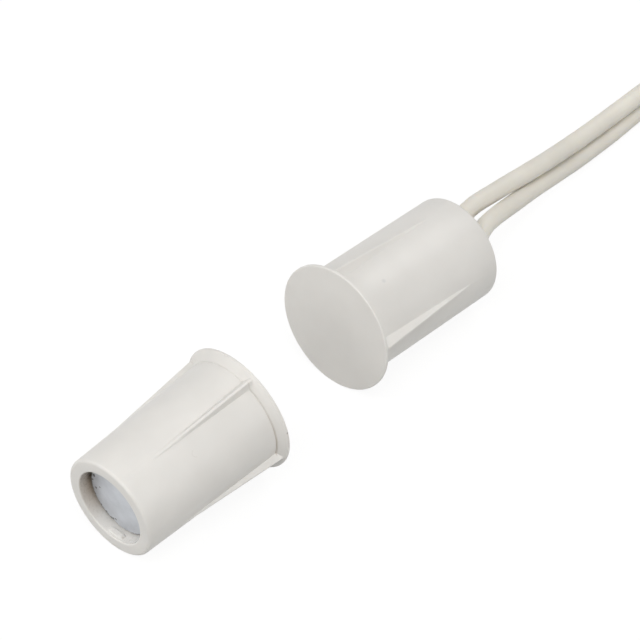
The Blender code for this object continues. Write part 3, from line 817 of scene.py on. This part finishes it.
def tie_bump(x, layer):
    """How far a layer is lifted where it passes over the strap below the hank."""
    beyond = abs(x - hank_middle()) - 0.5 * TIE_WIDTH
    share = smooth_share(1.0 - beyond / (TIE_BUMP_REACH - 0.5 * TIE_WIDTH))
    return share * (TIE_THICKNESS - layer * TIE_LAYER_SLACK)


def run_line(start, stop, y, layer):
    """A straight run of the hank from one x to another."""
    points = []
    for step in range(RUN_POINTS + 1):
        x = start + (stop - start) * step / RUN_POINTS
        points.append(Vector((x, y, layer_z(layer) + tie_bump(x, layer))))
    return points


def fold_line(middle, side, track, layer, rise=0.0, climb=(0.0, 1.0)):
    """A round fold of the hank, without its last point, which rises between the shares of a climb."""
    points = []
    for step in range(FOLD_POINTS):
        share = step / FOLD_POINTS
        out = side * track * math.sin(math.pi * share)
        y = side * track * math.cos(math.pi * share)
        up = rise * smooth_share((share - climb[0]) / (climb[1] - climb[0]))
        points.append(Vector((middle + out, y, layer_z(layer) + up)))
    return points


def hank_turn(track, climb, layer):
    """One turn of a lead in the hank, which climbs to the next layer in its last fold."""
    far_end = HANK_START + hank_run()
    rise = layer_z(layer + 1) - layer_z(layer)
    return [
        *run_line(HANK_START, far_end, track, layer)[:-1],
        *fold_line(far_end, 1.0, track, layer),
        *run_line(far_end, HANK_START, -track, layer)[:-1],
        *fold_line(HANK_START, -1.0, track, layer, rise, climb),
    ]


def lead_place(side, past_potting):
    """A place on a lead's straight stretch, some way out of the potting."""
    return SWITCH_LAID @ Vector((BODY_LENGTH - POTTING_RECESS + past_potting, side * LEAD_OFFSET, 0.0))


def lead_line(side, route, track, climb):
    """A lead's whole centre line, from inside the potting to the end of its insulation."""
    inner = lead_place(side, -LEAD_SOCKET_DEPTH)
    free = lead_place(side, LEAD_STRAIGHT)
    hank = Vector((HANK_START, track, layer_z(0)))
    points = [inner, *smooth_route([free, *(Vector(place) * MM for place in route), hank])[:-1]]
    for layer in range(LAYERS):
        points.extend(hank_turn(track, climb, layer))
    points.extend(run_line(HANK_START, HANK_START + hank_run(), track, LAYERS))
    insulated = LEAD_SOCKET_DEPTH + LEAD_LENGTH - TIP_LENGTH
    return even_points(cut_line(points, insulated), LEAD_POINT_STEP)


def lead_curve(name, points):
    """A round wire of insulation along its centre line."""
    curve = bpy.data.curves.new(name, "CURVE")
    curve.dimensions = "3D"
    curve.bevel_depth = LEAD_RADIUS
    curve.bevel_resolution = LEAD_BEVEL_STEPS
    curve.use_fill_caps = True
    spline = curve.splines.new("POLY")
    spline.points.add(len(points) - 1)
    for point, place in zip(spline.points, points):
        point.co = (*place, 1.0)
    spline.use_smooth = True
    return curve


def make_tip(letter, start, onward):
    """Bare tinned end of a lead, seen as a twisted bundle of strands."""
    bm = bmesh.new()
    rings = []
    for step in range(TIP_STEPS + 1):
        share = step / TIP_STEPS
        along = onward * (TIP_GAP + (TIP_LENGTH - TIP_GAP) * share)
        ring = []
        for side in range(TIP_SIDES):
            angle = math.tau * side / TIP_SIDES
            lobe = 0.5 + 0.5 * math.cos(TIP_STRANDS * angle)
            radius = TIP_RADIUS * (1.0 - TIP_GROOVE_SHARE + TIP_GROOVE_SHARE * math.sqrt(lobe))
            turn = angle + TIP_TWIST * share
            offset = Vector((along, radius * math.cos(turn), radius * math.sin(turn)))
            ring.append(bm.verts.new(start + offset))
        rings.append(ring)
    join_rings(bm, rings)
    name = f"tinned_tip_{letter}"
    return add_piece(name, mesh_from(bm, name), "tinned_copper", (f"lead_tip_{letter}",))


def tie_line():
    """The strap's inner line round the hank: places and the ways out from them, rounded at corners."""
    side = TRACK_A + LEAD_RADIUS + TIE_CLEARANCE
    shoulder = layer_z(LAYERS - 1) + LEAD_RADIUS + TIE_TOP_CLEARANCE
    top = layer_z(LAYERS) + LEAD_RADIUS + TIE_TOP_CLEARANCE
    corners = [
        Vector((-side, TIE_THICKNESS)),
        Vector((side, TIE_THICKNESS)),
        Vector((side, shoulder)),
        Vector((TRACK_B + LEAD_RADIUS, top)),
        Vector((TRACK_B - LEAD_RADIUS, top)),
        Vector((-side, shoulder)),
    ]
    line = []
    for before, here, after in zip([corners[-1], *corners], corners, [*corners[1:], corners[0]]):
        arriving = (here - before).normalized()
        leaving = (after - here).normalized()
        out_before = Vector((arriving.y, -arriving.x))
        out_after = Vector((leaving.y, -leaving.x))
        for step in range(TIE_CORNER_STEPS + 1):
            line.append((here, out_before.lerp(out_after, step / TIE_CORNER_STEPS).normalized()))
    return line


def tie_section():
    """The strap's section with blunted edges, as (place across its width, depth from its inner side)."""
    half = 0.5 * TIE_WIDTH
    return (
        (-half + TIE_EDGE, 0.0),
        (half - TIE_EDGE, 0.0),
        (half, TIE_EDGE),
        (half, TIE_THICKNESS - TIE_EDGE),
        (half - TIE_EDGE, TIE_THICKNESS),
        (-half + TIE_EDGE, TIE_THICKNESS),
        (-half, TIE_THICKNESS - TIE_EDGE),
        (-half, TIE_EDGE),
    )


def make_tie():
    """The strap round the middle of the hank."""
    middle = hank_middle()
    bm = bmesh.new()
    rings = []
    for here, out in tie_line():
        ring = []
        for across, depth in tie_section():
            place = here + out * depth
            ring.append(bm.verts.new((middle + across, place.x, place.y)))
        rings.append(ring)
    rings.append(rings[0])
    join_rings(bm, rings, closed_ends=False)
    bmesh.ops.remove_doubles(bm, verts=bm.verts, dist=MERGE_DISTANCE)
    return add_piece("strap", mesh_from(bm, "strap"), "tie_plastic", ("hank_tie",))


def make_lead(letter, line, onward, nodes):
    """A lead with its bare tip, which points onward along x."""
    name = f"wire_{letter}"
    wire = add_piece(name, lead_curve(name, line), "lead_insulation", nodes)
    tip = make_tip(letter, line[-1], onward)


def make_leads():
    """Both leads with their bare ends, and the tie round the hank that they share."""
    tie = make_tie()
    line_a = lead_line(1.0, ROUTE_A, TRACK_A, CLIMB_A)
    make_lead("a", line_a, -1.0, ("lead_a", "lead_hank"))
    line_b = lead_line(-1.0, ROUTE_B, TRACK_B, CLIMB_B)
    make_lead("b", line_b, 1.0, ("lead_b", "lead_hank", "lead_tail_b"))


# Housings

def arc(centre_x, centre_r, radius, start, stop):
    """Points of a profile's round corner, with angles from the x axis towards the radius."""
    points = []
    for step in range(ROUND_STEPS + 1):
        angle = start + (stop - start) * step / ROUND_STEPS
        points.append((centre_x + radius * math.cos(angle), centre_r + radius * math.sin(angle)))
    return points


def base_radius(x, front_radius):
    """Radius of the coned back of the flange and of the drafted body, with a fine crease between."""
    crease = CREASE_DEPTH * max(0.0, 1.0 - abs(x - FLANGE_DEPTH) / (0.5 * CREASE_WIDTH))
    if x < FLANGE_DEPTH:
        share = (x - RIM_THICKNESS) / (FLANGE_DEPTH - RIM_THICKNESS)
        return FLANGE_RADIUS + (front_radius - FLANGE_RADIUS) * share - crease
    share = (x - FLANGE_DEPTH) / (BODY_LENGTH - FLANGE_DEPTH)
    return front_radius + (REAR_RADIUS - front_radius) * share - crease


def rib_height(x, front_radius):
    """How far a rib's crest stands above the surface that carries it."""
    start = 0.5 * RIM_THICKNESS
    end_radius = base_radius(RIB_LENGTH, front_radius)
    crest = RIB_CREST_RADIUS + (end_radius - RIB_CREST_RADIUS) * (x - start) / (RIB_LENGTH - start)
    return max(0.0, crest - base_radius(x, front_radius))


def rib_section(height):
    """Half of a rib's section as (distance from its middle, height), from its foot to its crest."""
    fillet = min(RIB_FILLET, RIB_FILLET_SHARE * height)
    edge = min(RIB_EDGE_ROUND, RIB_EDGE_SHARE * height)
    crest = 0.5 * RIB_CREST_WIDTH
    root = crest + height * math.tan(RIB_DRAFT)
    points = []
    for step in range(RIB_FILLET_STEPS + 1):
        angle = QUARTER_TURN * (step / RIB_FILLET_STEPS - 1.0)
        points.append((root + fillet - fillet * math.cos(angle), fillet + fillet * math.sin(angle)))
    for step in range(RIB_EDGE_STEPS + 1):
        angle = QUARTER_TURN * step / RIB_EDGE_STEPS
        points.append((crest - edge + edge * math.cos(angle), height - edge + edge * math.sin(angle)))
    return points


def section_ring(x, front_radius, first_clock):
    """A ring of points round the body at one place, with the ribs' sections in it."""
    radius = base_radius(x, front_radius)
    half = rib_section(rib_height(x, front_radius))
    both = [(-across, height) for across, height in half] + [(0.0, half[-1][1])] + half[::-1]
    pitch = math.tau / RIB_COUNT
    foot = math.asin(half[0][0] / radius)
    middle = Vector((x, 0.0, 0.0))
    ring = []
    for number in range(RIB_COUNT):
        clock = first_clock + pitch * number
        out = direction(clock)
        sideways = direction(clock + QUARTER_TURN)
        for across, height in both:
            level = math.sqrt(radius ** 2 - across ** 2) + height
            ring.append(middle + out * level + sideways * across)
        for step in range(1, ARC_STEPS):
            angle = clock + foot + (pitch - 2.0 * foot) * step / ARC_STEPS
            ring.append(middle + direction(angle) * radius)
    return ring


def ring_clocks(front_radius, first_clock):
    """The clock angles that plain rings share with the ribbed ones."""
    ring = section_ring(RIB_LENGTH, front_radius, first_clock)
    return [math.atan2(point.y, point.z) for point in ring]


def nib_rise(x, clock):
    """How far the nibs stand in from the bore's wall."""
    along = (x - (BODY_LENGTH - NIB_FROM_MOUTH)) / NIB_HALF_LENGTH
    highest = 0.0
    for middle in NIB_CLOCKS:
        turn = math.remainder(clock - middle, math.tau)
        across = BORE_RADIUS * turn / NIB_HALF_WIDTH
        left = 1.0 - abs(along) ** NIB_SQUARENESS - abs(across) ** NIB_SQUARENESS
        if left > 0.0:
            highest = max(highest, NIB_HEIGHT * left ** (1.0 / NIB_SQUARENESS))
    return highest


def ribbed_stations():
    """Places of the ribbed rings along the flange's back and the body, close together at the crease."""
    stations = [*CONE_RINGS, FLANGE_DEPTH - 0.5 * CREASE_WIDTH, FLANGE_DEPTH]
    x = FLANGE_DEPTH + 0.5 * CREASE_WIDTH
    while x < RIB_LENGTH:
        stations.append(x)
        x += RING_STEP
    return [*stations, RIB_LENGTH]


def bore_stations(with_nibs):
    """Places of the rings in the bore, from the mouth inwards."""
    x = BODY_LENGTH - BORE_CHAMFER - NIB_RING_STEP
    if not with_nibs:
        return [x, FACE_THICKNESS]
    stations = []
    while x > BODY_LENGTH - NIB_FROM_MOUTH - NIB_HALF_LENGTH - NIB_RING_STEP:
        stations.append(x)
        x -= NIB_RING_STEP
    return [*stations, FACE_THICKNESS]


def bore_radii(x, clocks, with_nibs):
    """Radius of the bore at each clock angle, less where a nib stands in it."""
    if not with_nibs:
        return [BORE_RADIUS] * len(clocks)
    return [BORE_RADIUS - nib_rise(x, clock) for clock in clocks]


def make_shell(name, node, front_radius, first_clock, laid, with_nibs):
    """A moulded half shell, skinned in one go from its face to the bottom of its bore."""
    clocks = ring_clocks(front_radius, first_clock)
    rim = arc(RIM_ROUND, FLANGE_RADIUS - RIM_ROUND, RIM_ROUND, 2.0 * QUARTER_TURN, QUARTER_TURN)
    corner = arc(BODY_LENGTH - REAR_ROUND, REAR_RADIUS - REAR_ROUND, REAR_ROUND, QUARTER_TURN, 0.0)
    lip = BORE_RADIUS + BORE_CHAMFER
    mouth = arc(BODY_LENGTH - BORE_CHAMFER, lip, BORE_CHAMFER, 0.0, -QUARTER_TURN)
    bm = bmesh.new()
    rings = []
    for x, radius in [*rim, (RIM_THICKNESS, FLANGE_RADIUS)]:
        rings.append(add_ring(bm, x, clocks, [radius] * len(clocks)))
    for x in ribbed_stations():
        rings.append([bm.verts.new(point) for point in section_ring(x, front_radius, first_clock)])
    for x, radius in corner + mouth:
        rings.append(add_ring(bm, x, clocks, [radius] * len(clocks)))
    for x in bore_stations(with_nibs):
        rings.append(add_ring(bm, x, clocks, bore_radii(x, clocks, with_nibs)))
    join_rings(bm, rings)
    add_piece(name, mesh_from(bm, name), "housing_plastic", (node,), laid)


def edge_wear(clock, x):
    """How much of the magnet's edge is worn away, most of it on one side."""
    rough = noise.noise(direction(clock) * EDGE_WEAR_LOOPS + Vector((x / MAGNET_EDGE, 0.0, 0.0)))
    facing = max(0.0, math.cos(clock - EDGE_WEAR_CLOCK))
    one_side = EDGE_WEAR_LEAST + (1.0 - EDGE_WEAR_LEAST) * facing
    return EDGE_WEAR * one_side * max(0.0, rough)


def make_magnet():
    """The rod magnet, with a ragged worn edge round its face."""
    start = FACE_THICKNESS + SEAT_GAP
    radius = BORE_RADIUS - SEAT_GAP
    face_radius = radius - MAGNET_EDGE
    clocks = [math.tau * side / MAGNET_SIDES for side in range(MAGNET_SIDES)]
    edge = MAGNET_FACE - MAGNET_EDGE
    worn_wall = [radius - edge_wear(clock, edge) for clock in clocks]
    worn_face = [face_radius - edge_wear(clock, MAGNET_FACE) for clock in clocks]
    bm = bmesh.new()
    rings = [
        add_ring(bm, start, clocks, [face_radius] * MAGNET_SIDES),
        add_ring(bm, start + MAGNET_EDGE, clocks, [radius] * MAGNET_SIDES),
        add_ring(bm, edge, clocks, worn_wall),
        add_ring(bm, MAGNET_FACE, clocks, worn_face),
    ]
    for number in range(1, MAGNET_RINGS):
        inner = face_radius * (1.0 - number / MAGNET_RINGS)
        rings.append(add_ring(bm, MAGNET_FACE, clocks, [inner] * MAGNET_SIDES))
    join_rings(bm, rings)
    add_piece("rod_magnet", mesh_from(bm, "rod_magnet"), "magnet_plating", ("magnet",), MAGNET_LAID)


def make_halves():
    """The shells of both halves, and the magnet."""
    plans = (
        ("switch_shell", "switch_housing", SWITCH_FRONT_RADIUS, SWITCH_RIB_CLOCK, SWITCH_LAID, False),
        ("magnet_shell", "magnet_housing", MAGNET_FRONT_RADIUS, MAGNET_RIB_CLOCK, MAGNET_LAID, True),
    )
    for plan in plans:
        make_shell(*plan)
    make_magnet()


def dress_nodes():
    """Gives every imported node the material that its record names."""
    slots = {entry["node"]: entry["material_slot"] for entry in frame["record"]["subparts"]}
    for name, node in frame["nodes"].items():
        node.data.materials.clear()
        node.data.materials.append(MATERIALS[slots[name]])


# Surroundings

def add_seen_rays(tree):
    """1 for the rays of the camera, of reflections and of glass, and 0 for all others."""
    path = tree.nodes.new("ShaderNodeLightPath")
    seen = path.outputs["Is Camera Ray"]
    for kind in ("Is Transmission Ray", "Is Glossy Ray"):
        seen = add_math(tree, "MAXIMUM", seen, path.outputs[kind])
    return seen


def make_floor():
    """A white floor that still takes the object's soft shadow."""
    material, shader = new_material("floor_white", FLOOR_COLOUR, FLOOR_ROUGHNESS)
    tree = material.node_tree
    glow = tree.nodes.new("ShaderNodeEmission")
    glow.inputs["Strength"].default_value = FLOOR_GLOW
    mix = tree.nodes.new("ShaderNodeMixShader")
    share = add_math(tree, "MULTIPLY", add_seen_rays(tree), FLOOR_GLOW_SHARE)
    tree.links.new(share, mix.inputs["Fac"])
    tree.links.new(shader.outputs["BSDF"], mix.inputs[1])
    tree.links.new(glow.outputs["Emission"], mix.inputs[2])
    tree.links.new(mix.outputs["Shader"], tree.nodes["Material Output"].inputs["Surface"])
    bm = bmesh.new()
    bmesh.ops.create_circle(bm, cap_ends=True, segments=FLOOR_SIDES, radius=FLOOR_RADIUS)
    mesh = bpy.data.meshes.new("floor")
    bm.to_mesh(mesh)
    bm.free()
    mesh.materials.append(material)
    floor = bpy.data.objects.new("floor", mesh)
    bpy.context.collection.objects.link(floor)


def make_world():
    """Plain soft light from all round, which the camera and reflections see as white."""
    world = bpy.data.worlds.new("studio")
    world.use_nodes = True
    tree = world.node_tree
    light = tree.nodes["Background"]
    light.inputs["Color"].default_value = (*WHITE, 1.0)
    light.inputs["Strength"].default_value = WORLD_STRENGTH
    white = tree.nodes.new("ShaderNodeBackground")
    white.inputs["Color"].default_value = (*WHITE, 1.0)
    white.inputs["Strength"].default_value = SEEN_STRENGTH
    mix = tree.nodes.new("ShaderNodeMixShader")
    tree.links.new(add_seen_rays(tree), mix.inputs["Fac"])
    tree.links.new(light.outputs["Background"], mix.inputs[1])
    tree.links.new(white.outputs["Background"], mix.inputs[2])
    tree.links.new(mix.outputs["Shader"], tree.nodes["World Output"].inputs["Surface"])
    bpy.context.scene.world = world


def add_lamp(name, heading, height, power):
    """A soft square lamp aimed at the object, from a heading and a height in degrees."""
    level = LAMP_DISTANCE * math.cos(math.radians(height))
    turn = math.radians(heading)
    rise = LAMP_DISTANCE * math.sin(math.radians(height))
    place = Vector((level * math.cos(turn), level * math.sin(turn), rise))
    data = bpy.data.lights.new(name, "AREA")
    data.shape = "SQUARE"
    data.size = LAMP_SIZE
    data.energy = power
    lamp = bpy.data.objects.new(name, data)
    lamp.location = place
    lamp.rotation_euler = (-place).to_track_quat("-Z", "Y").to_euler()
    bpy.context.collection.objects.link(lamp)


def make_light():
    """Soft light all round, whose strongest lamps stand above the camera and to its left."""
    make_world()
    for lamp in LAMPS:
        add_lamp(*lamp)


MATERIALS = make_materials()
bpy.context.scene.view_settings.view_transform = "Standard"
make_camera()
make_leads()
make_halves()
dress_nodes()
make_floor()
make_light()
